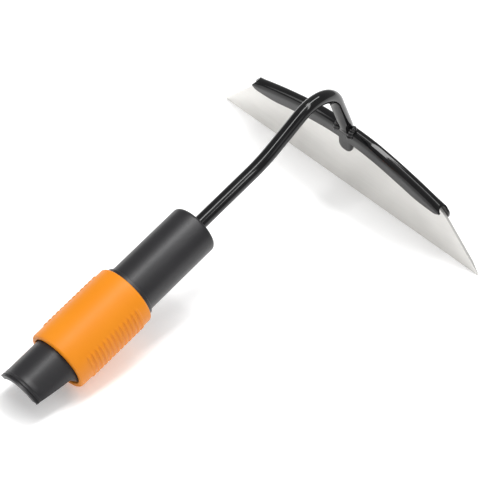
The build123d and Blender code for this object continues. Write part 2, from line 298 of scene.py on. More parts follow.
@dataclass(frozen=True)
class MouldedPlastic:
    """Moulded plastic with a spark-eroded grain, painted shade that darkens its grooves and paler
    rubbed edges.
    """

    name: str
    base: Colour
    pale: Colour
    # Colour of the painted shade in the grooves.
    groove_shade: Colour
    roughness: float
    grain: float = 0.03 * MM
    grain_pitch: float = 0.45 * MM
    rub: float = 0.35
    ior: float = 1.48

    def material(self) -> bpy.types.Material:
        """Makes the plastic.

        Returns:
            The material.
        """
        sheet = ShaderSheet(self.name)
        fine = 1.0 / self.grain_pitch
        grain = sheet.noise(sheet.stretched((fine, fine, fine)), 3.0, 0.6)
        flow = sheet.noise(sheet.stretched((22.0, 22.0, 22.0)), 3.0)
        tone = sheet.spread(flow, (0.35, 0.0), (0.7, 0.30))
        mottled = sheet.blend(tone, self.base, self.pale)
        edge = sheet.edge_wear_and_groove_shade()
        # Painted shade: grooves and hollows are darkened towards a darker colour, standing in for
        # the shade that falls in them.
        painted_groove_shade_mask = sheet.spread(edge, (0.42, 0.75), (0.485, 0.0))
        shaded = sheet.blend(painted_groove_shade_mask, mottled, self.groove_shade)
        colour = sheet.blend(sheet.spread(edge, (0.52, 0.0), (0.60, self.rub)), shaded, self.pale)
        roughness = sheet.spread(grain, (0.3, self.roughness - 0.05), (0.7, self.roughness + 0.06))
        normal = sheet.bump(grain, self.grain, 0.6)
        return sheet.finish(Base_Color=colour, Roughness=roughness, Normal=normal, IOR=self.ior)


@dataclass(frozen=True)
class DrawnSteel:
    """Bright drawn or turned steel of the lock work."""

    name: str
    base: Colour = (0.56, 0.56, 0.58)
    roughness: float = 0.28
    shade: Colour = (0.40, 0.40, 0.42)

    def material(self) -> bpy.types.Material:
        """Makes the steel.

        Returns:
            The material.
        """
        sheet = ShaderSheet(self.name)
        lines = sheet.noise(sheet.stretched((1800.0, 1800.0, 1800.0)), 3.0)
        tone = sheet.spread(lines, (0.3, 0.0), (0.7, 0.4))
        colour = sheet.blend(tone, self.base, self.shade)
        roughness = sheet.spread(lines, (0.3, self.roughness - 0.06), (0.7, self.roughness + 0.08))
        normal = sheet.bump(lines, 0.008 * MM, 0.4)
        return sheet.finish(Base_Color=colour, Metallic=1.0, Roughness=roughness, Normal=normal)


# ---------------------------------------------------------------- places and meshes


@dataclass(frozen=True)
class CouplingFrame:
    """The coupling's own frame: X along its axis from the sleeve's front rim, Z up through
    the middle of the tongue, both in the head's middle plane."""

    axis: Vector
    origin: Vector

    @classmethod
    def from_record(cls, record: dict, mount_x: float = 42.0 * MM) -> "CouplingFrame":
        """Reads the frame from the socket mount.

        Args:
            record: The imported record.
            mount_x: Where the mount's middle stands on the coupling's X.

        Returns:
            The frame.
        """
        mount = next(m for m in record["mounts"] if m["name"] == "spigot_socket")
        axis = -Vector(mount["axis"]).normalized()
        return cls(axis, Vector(mount["pos_m"]) - axis * mount_x)

    def point(self, x: float, y: float, z: float) -> Vector:
        """A point of the coupling's frame, in the part's frame."""
        up = Vector((-self.axis.z, 0.0, self.axis.x))
        return self.origin + self.axis * x + Vector((0.0, y, 0.0)) + up * z

    def round_point(self, x: float, radius: float, angle: float) -> Vector:
        """A point at a radius round the axis; angle 0 is +Y and a quarter turn is up."""
        return self.point(x, radius * math.cos(angle), radius * math.sin(angle))


@dataclass(frozen=True)
class BladeFrame:
    """The blade's own frame: across, height up from the edge, depth towards the handle."""

    coupling: CouplingFrame
    edge_x: float = 263.2 * MM
    edge_z: float = -116.1 * MM
    lean: float = math.radians(86.85)

    def flat(self, height: float, depth: float) -> Pair:
        """Coupling X and Z of a height and a depth."""
        x = self.edge_x + height * math.cos(self.lean) - depth * math.sin(self.lean)
        return x, self.edge_z + height * math.sin(self.lean) + depth * math.cos(self.lean)

    def point(self, across: float, height: float, depth: float) -> Vector:
        """A point of the blade's frame, in the part's frame; across is along +Y."""
        x, z = self.flat(height, depth)
        return self.coupling.point(x, across, z)


def ring_turns(count: int) -> list[float]:
    """Even angles round a ring, in radians."""
    return [2 * math.pi * index / count for index in range(count)]


class MeshDraft:
    """Vertices and faces of one piece while it is made."""

    def __init__(self) -> None:
        """Starts an empty draft."""
        self.points: list[Vector] = []
        self.faces: list[tuple[int, ...]] = []

    def row(self, points: Iterable[Vector]) -> list[int]:
        """Adds points.

        Args:
            points: The points of one row.

        Returns:
            Their indices.
        """
        first = len(self.points)
        self.points.extend(points)
        return list(range(first, len(self.points)))

    def strip(self, first: Sequence[int], second: Sequence[int], closed: bool = False) -> None:
        """Adds a strip of four-sided faces between two rows.

        Args:
            first: Indices of one row.
            second: Indices of the next row.
            closed: Whether the rows are rings.
        """
        count = len(first)
        for index in range(count if closed else count - 1):
            after = (index + 1) % count
            self.faces.append((first[index], first[after], second[after], second[index]))

    def net(self, rows: Sequence[Sequence[int]], rings: bool = False, loop: bool = False) -> None:
        """Adds strips between all rows.

        Args:
            rows: The rows in order.
            rings: Whether each row is a ring.
            loop: Whether the last row joins the first.
        """
        for index in range(len(rows) if loop else len(rows) - 1):
            self.strip(rows[index], rows[(index + 1) % len(rows)], rings)

    def fan(self, ring: Sequence[int], middle: Vector) -> None:
        """Closes a ring with a fan.

        Args:
            ring: Indices of the ring.
            middle: The point that the fan meets in.
        """
        centre = self.row([middle])[0]
        for index, start in enumerate(ring):
            self.faces.append((start, ring[(index + 1) % len(ring)], centre))

    def tube(self, rings: Sequence[Sequence[int]], first: Vector, last: Vector) -> None:
        """Joins rings into a tube and closes its ends.

        Args:
            rings: The rings in order.
            first: The point that closes the first ring.
            last: The point that closes the last ring.
        """
        self.net(rings, rings=True)
        self.fan(rings[0], first)
        self.fan(rings[-1], last)

    def piece(self, name: str, material: bpy.types.Material, smooth_below: float = 40.0,
              edge_round: float = 0.0) -> bpy.types.Object:
        """Turns the draft into a Blender object.

        Args:
            name: Name of the piece.
            material: Its finish.
            smooth_below: Edges that turn by less than this many degrees are shaded smooth.
            edge_round: Width of the rounding of sharp edges, in metres.

        Returns:
            The piece, linked to the scene.
        """
        mesh = bpy.data.meshes.new(name)
        mesh.from_pydata([tuple(point) for point in self.points], [], self.faces)
        work = bmesh.new()
        work.from_mesh(mesh)
        bmesh.ops.remove_doubles(work, verts=work.verts, dist=TINY)
        bmesh.ops.recalc_face_normals(work, faces=work.faces)
        work.to_mesh(mesh)
        work.free()
        mesh.materials.append(material)
        made = bpy.data.objects.new(name, mesh)
        bpy.context.scene.collection.objects.link(made)
        if edge_round > 0.0:
            add_edge_round(made, edge_round, smooth_below)
        shade_by_angle(made, smooth_below)
        return made


def add_edge_round(piece: bpy.types.Object, width: float, angle: float) -> None:
    """Rounds a piece's sharp edges.

    Args:
        piece: The piece.
        width: Width of the rounding in metres.
        angle: Smallest turn, in degrees, of an edge that is rounded.
    """
    bevel = piece.modifiers.new("edge_round", "BEVEL")
    bevel.width = width
    bevel.segments = 3
    bevel.limit_method = "ANGLE"
    bevel.angle_limit = math.radians(angle)
    bevel.use_clamp_overlap = True


def shade_by_angle(piece: bpy.types.Object, angle: float) -> None:
    """Shades a piece smooth, with creases where its faces turn by more than an angle.

    Args:
        piece: The piece.
        angle: The angle in degrees.
    """
    mesh = piece.data
    mesh.polygons.foreach_set("use_smooth", [True] * len(mesh.polygons))
    work = bmesh.new()
    work.from_mesh(mesh)
    limit = math.radians(angle)
    for edge in work.edges:
        edge.smooth = len(edge.link_faces) == 2 and edge.calc_face_angle(0.0) < limit
    work.to_mesh(mesh)
    work.free()


def hermite(points: Sequence[Pair], at: float) -> float:
    """Height of a smooth curve through points.

    Args:
        points: The curve's points in rising order.
        at: Where the height is wanted.

    Returns:
        The height.
    """
    count = len(points)
    at = min(max(at, points[0][0]), points[-1][0])
    index = max(i for i in range(count - 1) if points[i][0] <= at or i == 0)

    def slope(i: int) -> float:
        """Slope of the curve at one of its points."""
        low, high = max(i - 1, 0), min(i + 1, count - 1)
        return (points[high][1] - points[low][1]) / (points[high][0] - points[low][0])

    (x0, y0), (x1, y1) = points[index], points[index + 1]
    span = x1 - x0
    t = (at - x0) / span
    return ((2 * t ** 3 - 3 * t ** 2 + 1) * y0 + (t ** 3 - 2 * t ** 2 + t) * span * slope(index)
            + (3 * t ** 2 - 2 * t ** 3) * y1 + (t ** 3 - t ** 2) * span * slope(index + 1))


def mirrored(points: Sequence[Pair]) -> list[Pair]:
    """A half outline, given from its middle outwards, with its mirror image, in metres."""
    half = [(across * MM, height * MM) for across, height in points]
    return [(-across, height) for across, height in reversed(half) if across > 0] + half


def ease(value: float, low: float, high: float) -> float:
    """A smooth step from 0 below low to 1 above high."""
    t = min(max((value - low) / (high - low), 0.0), 1.0)
    return t * t * (3 - 2 * t)


def rounded(corners: Sequence[tuple[float, float, float]], steps: int = 5) -> list[Pair]:
    """A closed outline with its corners rounded.

    Args:
        corners: X, radius and rounding of each corner, in metres.
        steps: Number of spans in each rounding.

    Returns:
        The outline's points.
    """
    outline: list[Pair] = []
    count = len(corners)
    for index, (x, r, rounding) in enumerate(corners):
        here = Vector((x, r))
        if rounding <= 0.0:
            outline.append((x, r))
            continue
        before = (Vector(corners[index - 1][:2]) - here).normalized()
        after = (Vector(corners[(index + 1) % count][:2]) - here).normalized()
        half = before.angle(after) / 2
        reach = rounding / math.tan(half)
        centre = here + (before + after).normalized() * (rounding / math.sin(half))
        start = here + before * reach - centre
        end = here + after * reach - centre
        turn = start.angle_signed(end)
        for step in range(steps + 1):
            spun = start.copy()
            spun.rotate(Matrix.Rotation(-turn * step / steps, 2))
            outline.append(tuple(centre + spun))
    return outline


def turned_draft(place: CouplingFrame, outline: Sequence[Pair], sides: int = 96,
                 relief: Callable[[float, float, float], float] | None = None) -> MeshDraft:
    """A ring turned about the coupling's axis.

    Args:
        place: The coupling's frame.
        outline: X and radius of each point of its closed section.
        sides: Number of sides.
        relief: Extra radius at an X, radius and angle.

    Returns:
        The draft.
    """
    draft = MeshDraft()
    angles = ring_turns(sides)
    rows = []
    for x, r in outline:
        radii = [r + relief(x, r, angle) if relief else r for angle in angles]
        rows.append(draft.row(place.round_point(x, radius, angle)
                              for radius, angle in zip(radii, angles)))
    draft.net(rows, rings=True, loop=True)
    return draft


def place_piece(piece: bpy.types.Object, body: Body, slot: Slot, *nodes: str) -> bpy.types.Object:
    """Fixes a piece to its body and hides the plain nodes it stands for.

    Args:
        piece: The piece.
        body: The body that it moves with.
        slot: The record's material slot. Not used.
        *nodes: The nodes that it replaces.

    Returns:
        The piece.
    """
    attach(piece, body.value)
    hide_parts(*nodes)
    LOG.info("piece %s rides on %s for %s", piece.name, body.value, ", ".join(nodes))
    return piece


# ---------------------------------------------------------------- blade and spine


@dataclass
class BladePlate:
    """The tapered blade, flat on the handle's side and ground thin behind its edge."""

    place: BladeFrame
    half_width: float = 115.0 * MM
    shoulder_half_width: float = 84.9 * MM
    shoulder_height: float = 40.0 * MM
    thickness: float = 2.0 * MM
    edge_land: float = 0.3 * MM
    bevel: float = 9.0 * MM
    upper_levels: tuple[float, ...] = (20 * MM, 30 * MM, 40 * MM)
    corner_cut: float = 1.2 * MM
    top_half_width: float = 75.0 * MM
    top_middle: float = 64.4 * MM
    top_end: float = 48.4 * MM
    columns: int = 96

    def half_width_at(self, height: float) -> float:
        """Half of the blade's width at a height, with its blunted corners.

        Args:
            height: Height above the cutting edge.

        Returns:
            The half width.
        """
        slope = (self.half_width - self.shoulder_half_width) / self.shoulder_height
        if height < self.corner_cut:
            low = self.half_width - self.corner_cut
            high = self.half_width - slope * self.corner_cut
            return low + (high - low) * height / self.corner_cut
        return self.half_width - slope * height

    def section(self, share: float) -> list[Vector]:
        """One section of the plate.

        Args:
            share: Place across the blade, from -1 to 1.

        Returns:
            The section's ring of points, up its front and down its back.
        """
        half = self.thickness / 2
        top = self.top_end + (self.top_middle - self.top_end) * (1 - share * share)
        levels = (0.0, self.corner_cut, self.bevel, *self.upper_levels)
        front = [(share * self.half_width_at(h), h, half) for h in levels]
        front.append((share * self.top_half_width, top, half))
        grind = (self.thickness - self.edge_land) / self.bevel
        back = [(across, height, max(half - self.edge_land - grind * height, -half))
                for across, height, _ in reversed(front)]
        return [self.place.point(*corner) for corner in front + back]

    def build(self) -> bpy.types.Object:
        """Makes the blade.

        Returns:
            The piece.
        """
        draft = MeshDraft()
        rows = [draft.row(self.section(2 * i / self.columns - 1)) for i in range(self.columns + 1)]
        draft.net(rows, rings=True)
        for row in (rows[0], rows[-1]):
            half = len(row) // 2
            draft.strip(row[:half], list(reversed(row[half:])))
        steel = GroundSteel(lean=blade_lean(self.place)).material()
        piece = draft.piece("blade_plate", steel, smooth_below=20.0, edge_round=0.12 * MM)
        return place_piece(piece, Body.HEAD, Slot.BLADE_STEEL, "blade")


def blade_lean(place: BladeFrame) -> float:
    """Turn about Y that lines the blade's plane up with the part's upright plane."""
    up = place.point(0.0, 1.0, 0.0) - place.point(0.0, 0.0, 0.0)
    return -math.atan2(up.x, up.z)


@dataclass
class FoldedSpine:
    """The sheet folded over the blade's top, with curved flaps and open ends."""

    place: BladeFrame
    enamel: bpy.types.Material
    sheet: float = 1.5 * MM
    back: float = 2.55 * MM
    front: float = 6.2 * MM
    ridge: list[Pair] = field(default_factory=lambda: mirrored(
        [(0, 69.2), (20, 68.2), (33, 65.9), (46, 62.7), (59, 58.9), (72, 54.5), (80, 51.4)]))
    flap_edge: list[Pair] = field(default_factory=lambda: mirrored(
        [(0, 57.8), (12, 57.4), (30, 54.7), (49, 49.9), (62, 46.4), (73, 45.2), (80, 45.2),
         (85, 47.2)]))
    back_edge: list[Pair] = field(default_factory=lambda: mirrored(
        [(0, 46.0), (30, 43.5), (60, 39.4), (76, 37.2), (82, 37.0), (85.4, 39.4)]))
    top_end: float = 80.0 * MM
    end_height: float = 51.4 * MM
    nose: float = 5.4 * MM
    nose_drop: float = 7.9 * MM
    nose_start: float = 0.80
    stations: int = 132
    straight_steps: int = 5
    fold_steps: int = 14

    def across(self, share: float, height: float) -> float:
        """Distance from the middle, with the slanted ends.

        Args:
            share: Place along the spine, from -1 to 1.
            height: Height above the cutting edge.

        Returns:
            The distance.
        """
        below = min(max((self.end_height - height) / self.nose_drop, 0.0), 1.0)
        slant = self.nose * below * ease(abs(share), self.nose_start, 1.0)
        return share * self.top_end + math.copysign(slant, share)

    def half_section(self, share: float, inset: float) -> list[Vector]:
        """The outer or inner line of one section, from the front lip over to the back lip.

        Args:
            share: Place along the spine, from -1 to 1.
            inset: Distance in from the outer skin.

        Returns:
            The line's points.
        """
        middle = share * self.top_end
        reach = middle + math.copysign(self.nose * ease(abs(share), self.nose_start, 1.0), share)
        skin = (self.back + self.front) / 2
        radius = skin - inset
        centre = (self.front - self.back) / 2
        fold = hermite(self.ridge, middle) - skin
        low_front = hermite(self.flap_edge, reach)
        low_back = hermite(self.back_edge, reach)
        flat: list[Pair] = []
        for step in range(self.straight_steps):
            rise = (fold - low_front) * step / self.straight_steps
            flat.append((centre + radius, low_front + rise))
        for step in range(self.fold_steps + 1):
            turn = math.pi * step / self.fold_steps
            flat.append((centre + radius * math.cos(turn), fold + radius * math.sin(turn)))
        for step in range(1, self.straight_steps + 1):
            flat.append((centre - radius, fold + (low_back - fold) * step / self.straight_steps))
        return [self.place.point(self.across(share, height), height, depth)
                for depth, height in flat]

    def build(self) -> bpy.types.Object:
        """Makes the spine.

        Returns:
            The piece.
        """
        draft = MeshDraft()
        outer_rows, inner_rows = [], []
        for index in range(self.stations + 1):
            share = math.sin(math.pi / 2 * (2 * index / self.stations - 1))
            outer_rows.append(draft.row(self.half_section(share, 0.0)))
            inner_rows.append(draft.row(self.half_section(share, self.sheet)))
        draft.net(outer_rows)
        draft.net(inner_rows)
        for end in (0, -1):
            draft.strip(outer_rows[end], inner_rows[end])
            draft.strip([row[end] for row in outer_rows], [row[end] for row in inner_rows])
        piece = draft.piece("folded_spine", self.enamel, smooth_below=35.0, edge_round=0.3 * MM)
        return place_piece(piece, Body.HEAD, Slot.BLACK_ENAMEL, "spine_channel")


# ---------------------------------------------------------------- neck


@dataclass
class NeckRod:
    """The round neck: straight, a gentle rise, the crook, and the flat tang at its end."""

    blade: BladeFrame
    enamel: bpy.types.Material
    radius: float = 4.7 * MM
    start_x: float = 66.0 * MM
    axis_z: float = 0.4 * MM
    corner_x: float = 186.3 * MM
    rise: float = math.radians(15.1)
    rise_radius: float = 83.6 * MM
    rise_straight: float = 26.6 * MM
    crook_radius: float = 27.6 * MM
    crook_down: float = math.radians(78.0)
    tang_bend: float = 8.0 * MM
    tang_depth: float = 2.85 * MM
    tang_half_width: float = 5.8 * MM
    tang_half_thick: float = 1.75 * MM
    round_end: float = 68.8 * MM
    flat_start: float = 61.5 * MM
    tip_centre: float = 49.0 * MM
    tip_depth: float = 5.4 * MM
    tip_steps: int = 10
    tip_thin: float = 0.4
    tang_rows: int = 12
    tang_gap: float = 0.8 * MM
    flat_gap: float = 4.0 * MM
    squareness: float = 2.5
    sides: int = 40
    spacing: float = 1.6 * MM

    def centre_line(self) -> list[tuple[float, float, float]]:
        """The middle line down to the tang.

        Returns:
            Coupling X, coupling Z and direction angle of each point.
        """
        lead = self.rise_radius * math.tan(self.rise / 2)
        line = [(self.start_x, self.axis_z, 0.0)]
        self.straight(line, self.corner_x - lead - self.start_x)
        self.bend(line, self.rise_radius, self.rise)
        self.straight(line, self.rise_straight)
        self.bend(line, self.crook_radius, -(self.rise + self.crook_down))
        down = line[-1][2]
        last_turn = self.blade.lean - math.pi - down
        tang_x, tang_z = self.blade.flat(self.round_end, self.tang_depth)
        normal = (math.sin(self.blade.lean), -math.cos(self.blade.lean))
        x, z, _ = line[-1]
        across = (tang_x - x) * normal[0] + (tang_z - z) * normal[1]
        closing = math.cos(down) * normal[0] + math.sin(down) * normal[1]
        lead = self.tang_bend * math.tan(abs(last_turn) / 2)
        self.straight(line, across / closing - lead)
        self.bend(line, self.tang_bend, last_turn)
        return line

    def straight(self, line: list[tuple[float, float, float]], length: float) -> None:
        """Adds a straight run to the middle line."""
        x, z, angle = line[-1]
        steps = max(round(length / (3 * self.spacing)), 1)
        for step in range(1, steps + 1):
            reach = length * step / steps
            line.append((x + reach * math.cos(angle), z + reach * math.sin(angle), angle))

    def bend(self, line: list[tuple[float, float, float]], radius: float, turn: float) -> None:
        """Adds a bend to the middle line."""
        x, z, angle = line[-1]
        side = math.copysign(1.0, turn)
        centre = (x - side * radius * math.sin(angle), z + side * radius * math.cos(angle))
        steps = max(round(radius * abs(turn) / self.spacing), 4)
        for step in range(1, steps + 1):
            now = angle + turn * step / steps
            line.append((centre[0] + side * radius * math.sin(now),
                         centre[1] - side * radius * math.cos(now), now))

    def round_ring(self, x: float, z: float, angle: float) -> list[Vector]:
        """One ring of the round part.

        Args:
            x: Coupling X of its middle.
            z: Coupling Z of its middle.
            angle: Direction of the middle line.

        Returns:
            The ring's points.
        """
        ring = []
        for turn in ring_turns(self.sides):
            out = self.radius * math.sin(turn)
            ring.append(self.blade.coupling.point(x - out * math.sin(angle),
                                                  self.radius * math.cos(turn),
                                                  z + out * math.cos(angle)))
        return ring

    def tang_ring(self, height: float) -> list[Vector]:
        """One ring of the tang.

        Args:
            height: Height above the cutting edge.

        Returns:
            The ring's points.
        """
        flat = 1.0 - ease(height, self.flat_start, self.round_end)
        wide = self.radius + (self.tang_half_width - self.radius) * flat
        thick = self.radius + (self.tang_half_thick - self.radius) * flat
        below = max((self.tip_centre - height) / self.tip_depth, 0.0)
        wide *= math.sqrt(max(1.0 - below * below, 0.0))
        thick *= 1.0 - self.tip_thin * (1.0 - math.sqrt(max(1.0 - below ** 8, 0.0)))
        power = 2.0 / (2.0 + self.squareness * flat)
        ring = []
        for turn in ring_turns(self.sides):
            across = math.copysign(abs(math.cos(turn)) ** power, math.cos(turn))
            depth = -math.copysign(abs(math.sin(turn)) ** power, math.sin(turn))
            ring.append(self.blade.point(wide * across, height, self.tang_depth + thick * depth))
        return ring

    def build(self) -> bpy.types.Object:
        """Makes the neck.

        Returns:
            The piece.
        """
        draft = MeshDraft()
        line = self.centre_line()
        rows = [draft.row(self.round_ring(*station)) for station in line]
        tang = [self.round_end - step * self.tang_gap for step in range(1, self.tang_rows)]
        tang += [self.flat_start - self.flat_gap, self.flat_start - 2 * self.flat_gap,
                 self.tip_centre]
        tip = [self.tip_centre - self.tip_depth * math.sin(math.pi / 2 * step / self.tip_steps)
               for step in range(1, self.tip_steps)]
        rows += [draft.row(self.tang_ring(height)) for height in tang + tip]
        draft.tube(rows, self.blade.coupling.point(self.start_x, 0.0, self.axis_z),
                   self.blade.point(0.0, self.tip_centre - self.tip_depth, self.tang_depth))
        piece = draft.piece("neck_bar", self.enamel, smooth_below=50.0)
        return place_piece(piece, Body.HEAD, Slot.BLACK_ENAMEL, "neck_rod")


@dataclass
class WeldBeads:
    """The two rippled weld beads in the corners between the neck and the spine."""

    blade: BladeFrame
    enamel: bpy.types.Material
    radius: float = 2.5 * MM
    side: float = 6.0 * MM
    high: Pair = (70.6 * MM, 2.6 * MM)
    low: Pair = (65.4 * MM, 6.0 * MM)
    blunt: float = 3.2
    ripples: int = 5
    ripple_height: float = 0.07
    wobbles: float = 1.7
    wobble_height: float = 0.08
    slant: float = 0.35 * MM
    steps: int = 36
    sides: int = 28

    def bead(self, draft: MeshDraft, hand: int) -> None:
        """Adds one bead.

        Args:
            draft: The draft that takes it.
            hand: 1 on the left and -1 on the right.
        """
        start = Vector((hand * self.side, *self.high))
        end = Vector((hand * self.side, *self.low))
        along = (end - start).normalized()
        across = Vector((1.0, 0.0, 0.0))
        out = along.cross(across)
        first, last = start - along * self.radius, end + along * self.radius
        rows = []
        for step in range(1, self.steps):
            share = step / self.steps
            swell = (1.0 - abs(2 * share - 1) ** self.blunt) ** 0.5
            ripple = 1.0 + self.ripple_height * math.cos(2 * math.pi * self.ripples * share)
            ripple += self.wobble_height * math.sin(2 * math.pi * self.wobbles * share + hand)
            radius = self.radius * swell * ripple
            middle = first.lerp(last, share)
            ring = []
            for turn in ring_turns(self.sides):
                spot = middle + across * radius * math.cos(turn) + out * radius * math.sin(turn)
                spot += along * self.slant * math.cos(turn)
                ring.append(self.blade.point(*spot))
            rows.append(draft.row(ring))
        draft.tube(rows, self.blade.point(*first), self.blade.point(*last))

    def build(self) -> bpy.types.Object:
        """Makes both beads.

        Returns:
            The piece.
        """
        draft = MeshDraft()
        for hand in (1, -1):
            self.bead(draft, hand)
        piece = draft.piece("weld_bead_pair", self.enamel, smooth_below=70.0)
        return place_piece(piece, Body.HEAD, Slot.BLACK_ENAMEL, "neck_weld_beads")


# ---------------------------------------------------------------- coupling


@dataclass
class CouplingBody:
    """The moulded body: back end with its rounded rim, spigot socket and front tongue."""

    place: CouplingFrame
    plastic: bpy.types.Material
    radius: float = 17.0 * MM
    tongue_radius: float = 17.3 * MM
    lip_profile: list[Pair] = field(default_factory=lambda: [
        (0.0, 0.45 * MM), (1.25 * MM, 0.45 * MM), (1.65 * MM, 0.0), (1.95 * MM, 0.38 * MM),
        (2.60 * MM, 0.38 * MM), (2.95 * MM, 0.0), (3.70 * MM, 0.0), (4.05 * MM, 0.20 * MM),
        (4.40 * MM, 0.0)])
    lead_radius: float = 14.5 * MM
    socket_radius: float = 14.0 * MM
    socket_start: float = 26.0 * MM
    socket_floor: float = 58.0 * MM
    holder_seat: float = 62.5 * MM
    end_x: float = 124.0 * MM
    end_round: float = 2.8 * MM
    end_dish: float = 0.1 * MM
    middle_rings: Pair = (60 * MM, 90 * MM)
    cut: list[Pair] = field(default_factory=lambda: [
        (-31.0 * MM, 8.4 * MM), (-5.0 * MM, 3.6 * MM), (0.8 * MM, -5.6 * MM),
        (1.8 * MM, -18.3 * MM)])
    tip_x: float = -31.0 * MM
    join_x: float = 4.0 * MM
    join_length: float = 0.5 * MM
    socket_step: float = 0.3 * MM
    row_gap: float = 0.05 * MM
    columns: int = 120
    round_steps: int = 8

    def start_at(self, radius: float, angle: float) -> float:
        """Where the shell starts along the axis.

        Args:
            radius: Radius of the surface.
            angle: Angle round the axis.

        Returns:
            The coupling X.
        """
        height = radius * math.sin(angle)
        if height >= self.cut[0][1]:
            return self.tip_x
        for (x0, z0), (x1, z1) in zip(self.cut, self.cut[1:]):
            if height >= z1:
                return x0 + (x1 - x0) * (z0 - height) / (z0 - z1)
        return self.cut[-1][0]

    def angles(self) -> list[float]:
        """Angles of the columns: even ones, and one at each corner of the cut.

        Returns:
            The angles in rising order.
        """
        even = ring_turns(self.columns)
        corners = []
        for radius in (self.tongue_radius, self.lead_radius):
            for _, height in self.cut[:3]:
                corner = math.asin(height / radius)
                corners += [corner, math.pi - corner]
        return sorted(even + corners)

    def lip_rise(self, depth: float) -> float:
        """Height of the raised bands at a distance behind the tip.

        Args:
            depth: Distance from the tip along the axis.

        Returns:
            The height above the tongue.
        """
        for (d0, h0), (d1, h1) in zip(self.lip_profile, self.lip_profile[1:]):
            if depth <= d1:
                return h0 + (h1 - h0) * (depth - d0) / (d1 - d0)
        return 0.0

    def rows(self, draft: MeshDraft, angles: Sequence[float], radius: float, lip: bool,
             steps: int = 8) -> list[list[int]]:
        """Rows of one tongue surface, from its cut edge back to the round body.

        Args:
            draft: The draft that takes the points.
            angles: The columns.
            radius: Radius of the surface.
            lip: Whether the raised bands at the tip are on this surface.
            steps: Number of rows behind the bands.

        Returns:
            The rows of indices.
        """
        starts = [self.start_at(radius, angle) for angle in angles]
        stations = []
        for index, (depth, _) in enumerate(self.lip_profile):
            stations.append([max(start + self.row_gap * index, self.tip_x + depth)
                             for start in starts])
        last = stations[-1]
        for step in range(1, steps + 1):
            stations.append([x + (self.join_x - x) * step / steps for x in last])
        rows = []
        for station in stations:
            rises = [self.lip_rise(x - self.tip_x) if lip else 0.0 for x in station]
            rows.append(draft.row(self.place.round_point(x, radius + rise, angle)
                                  for x, rise, angle in zip(station, rises, angles)))
        return rows

    def build(self) -> bpy.types.Object:
        """Makes the body.

        Returns:
            The piece.
        """
        draft = MeshDraft()
        angles = self.angles()

        def ring(x: float, radius: float) -> list[int]:
            """Adds one full ring."""
            return draft.row(self.place.round_point(x, radius, angle) for angle in angles)

        outside = self.rows(draft, angles, self.tongue_radius, True)
        outside += [ring(x, self.radius)
                    for x in (self.join_x + self.join_length, *self.middle_rings)]
        centre_x, centre_r = self.end_x - self.end_round, self.radius - self.end_round
        for step in range(self.round_steps + 1):
            turn = math.pi / 2 * step / self.round_steps
            outside.append(ring(centre_x + self.end_round * math.sin(turn),
                                centre_r + self.end_round * math.cos(turn)))
        outside += [ring(self.end_x - self.end_dish, self.socket_radius),
                    ring(self.holder_seat, self.socket_radius)]
        draft.net(outside, rings=True)
        draft.fan(outside[-1], self.place.point(self.holder_seat, 0.0, 0.0))
        inside = self.rows(draft, angles, self.lead_radius, False)
        inside += [ring(self.socket_start, self.lead_radius),
                   ring(self.socket_start + self.socket_step, self.socket_radius),
                   ring(self.socket_floor, self.socket_radius)]
        draft.net(inside, rings=True)
        draft.fan(inside[-1], self.place.point(self.socket_floor, 0.0, 0.0))
        draft.strip(outside[0], inside[0], closed=True)
        piece = draft.piece("coupling_body", self.plastic, smooth_below=30.0, edge_round=0.12 * MM)
        return place_piece(piece, Body.HEAD, Slot.BODY_PLASTIC, "connector_body")


@dataclass
class SlidingSleeve:
    """The sliding sleeve with its rounded rims and the finger ribs on both sides."""

    place: CouplingFrame
    plastic: bpy.types.Material
    length: float = 61.4 * MM
    radius: float = 21.2 * MM
    rim_round: float = 1.5 * MM
    bore: float = 20.0 * MM
    mouth: float = 18.0 * MM
    mouth_lip: float = 2.5 * MM
    rear_lip_x: float = 57.0 * MM
    rear_lip: float = 18.6 * MM
    small_round: float = 0.3 * MM
    ribs: int = 13
    first_rib: float = 11.2 * MM
    rib_pitch: float = 3.5 * MM
    rib_height: float = 0.65 * MM
    rib_span: float = math.radians(36.0)
    rib_fade: float = math.radians(4.0)
    rib_flank: Pair = (0.20, 0.70)
    rows_per_rib: int = 10

    def relief(self, x: float, r: float, angle: float) -> float:
        """Height of the finger ribs.

        Args:
            x: Coupling X.
            r: Radius of the plain surface.
            angle: Angle round the axis.

        Returns:
            The extra radius.
        """
        first = self.first_rib - self.rib_pitch / 2
        share = (x - first) / self.rib_pitch
        if r < self.radius - TINY or not 0.0 <= share <= self.ribs:
            return 0.0
        wave = 0.5 - 0.5 * math.cos(2 * math.pi * share)
        off_side = abs(math.asin(math.sin(angle)))
        window = 1.0 - ease(off_side, self.rib_span - self.rib_fade, self.rib_span)
        return self.rib_height * ease(wave, *self.rib_flank) * window

    def outline(self) -> list[Pair]:
        """The sleeve's closed section, with close rows under the ribs.

        Returns:
            The section's points.
        """
        small, big = self.small_round, self.rim_round
        inside = rounded([
            (self.length, self.radius, big), (self.length, self.rear_lip, small),
            (self.rear_lip_x, self.rear_lip, small), (self.rear_lip_x, self.bore, small),
            (self.mouth_lip, self.bore, small), (self.mouth_lip, self.mouth, small),
            (0.0, self.mouth, 2 * small), (0.0, self.radius, big)], steps=6)
        first = self.first_rib - self.rib_pitch / 2
        ribbed = [(first + self.rib_pitch * step / self.rows_per_rib, self.radius)
                  for step in range(self.ribs * self.rows_per_rib + 1)]
        return inside + ribbed

    def build(self) -> bpy.types.Object:
        """Makes the sleeve.

        Returns:
            The piece.
        """
        draft = turned_draft(self.place, self.outline(), sides=144, relief=self.relief)
        piece = draft.piece("grip_sleeve", self.plastic)
        return place_piece(piece, Body.SLEEVE, Slot.SLEEVE_PLASTIC, "locking_sleeve")


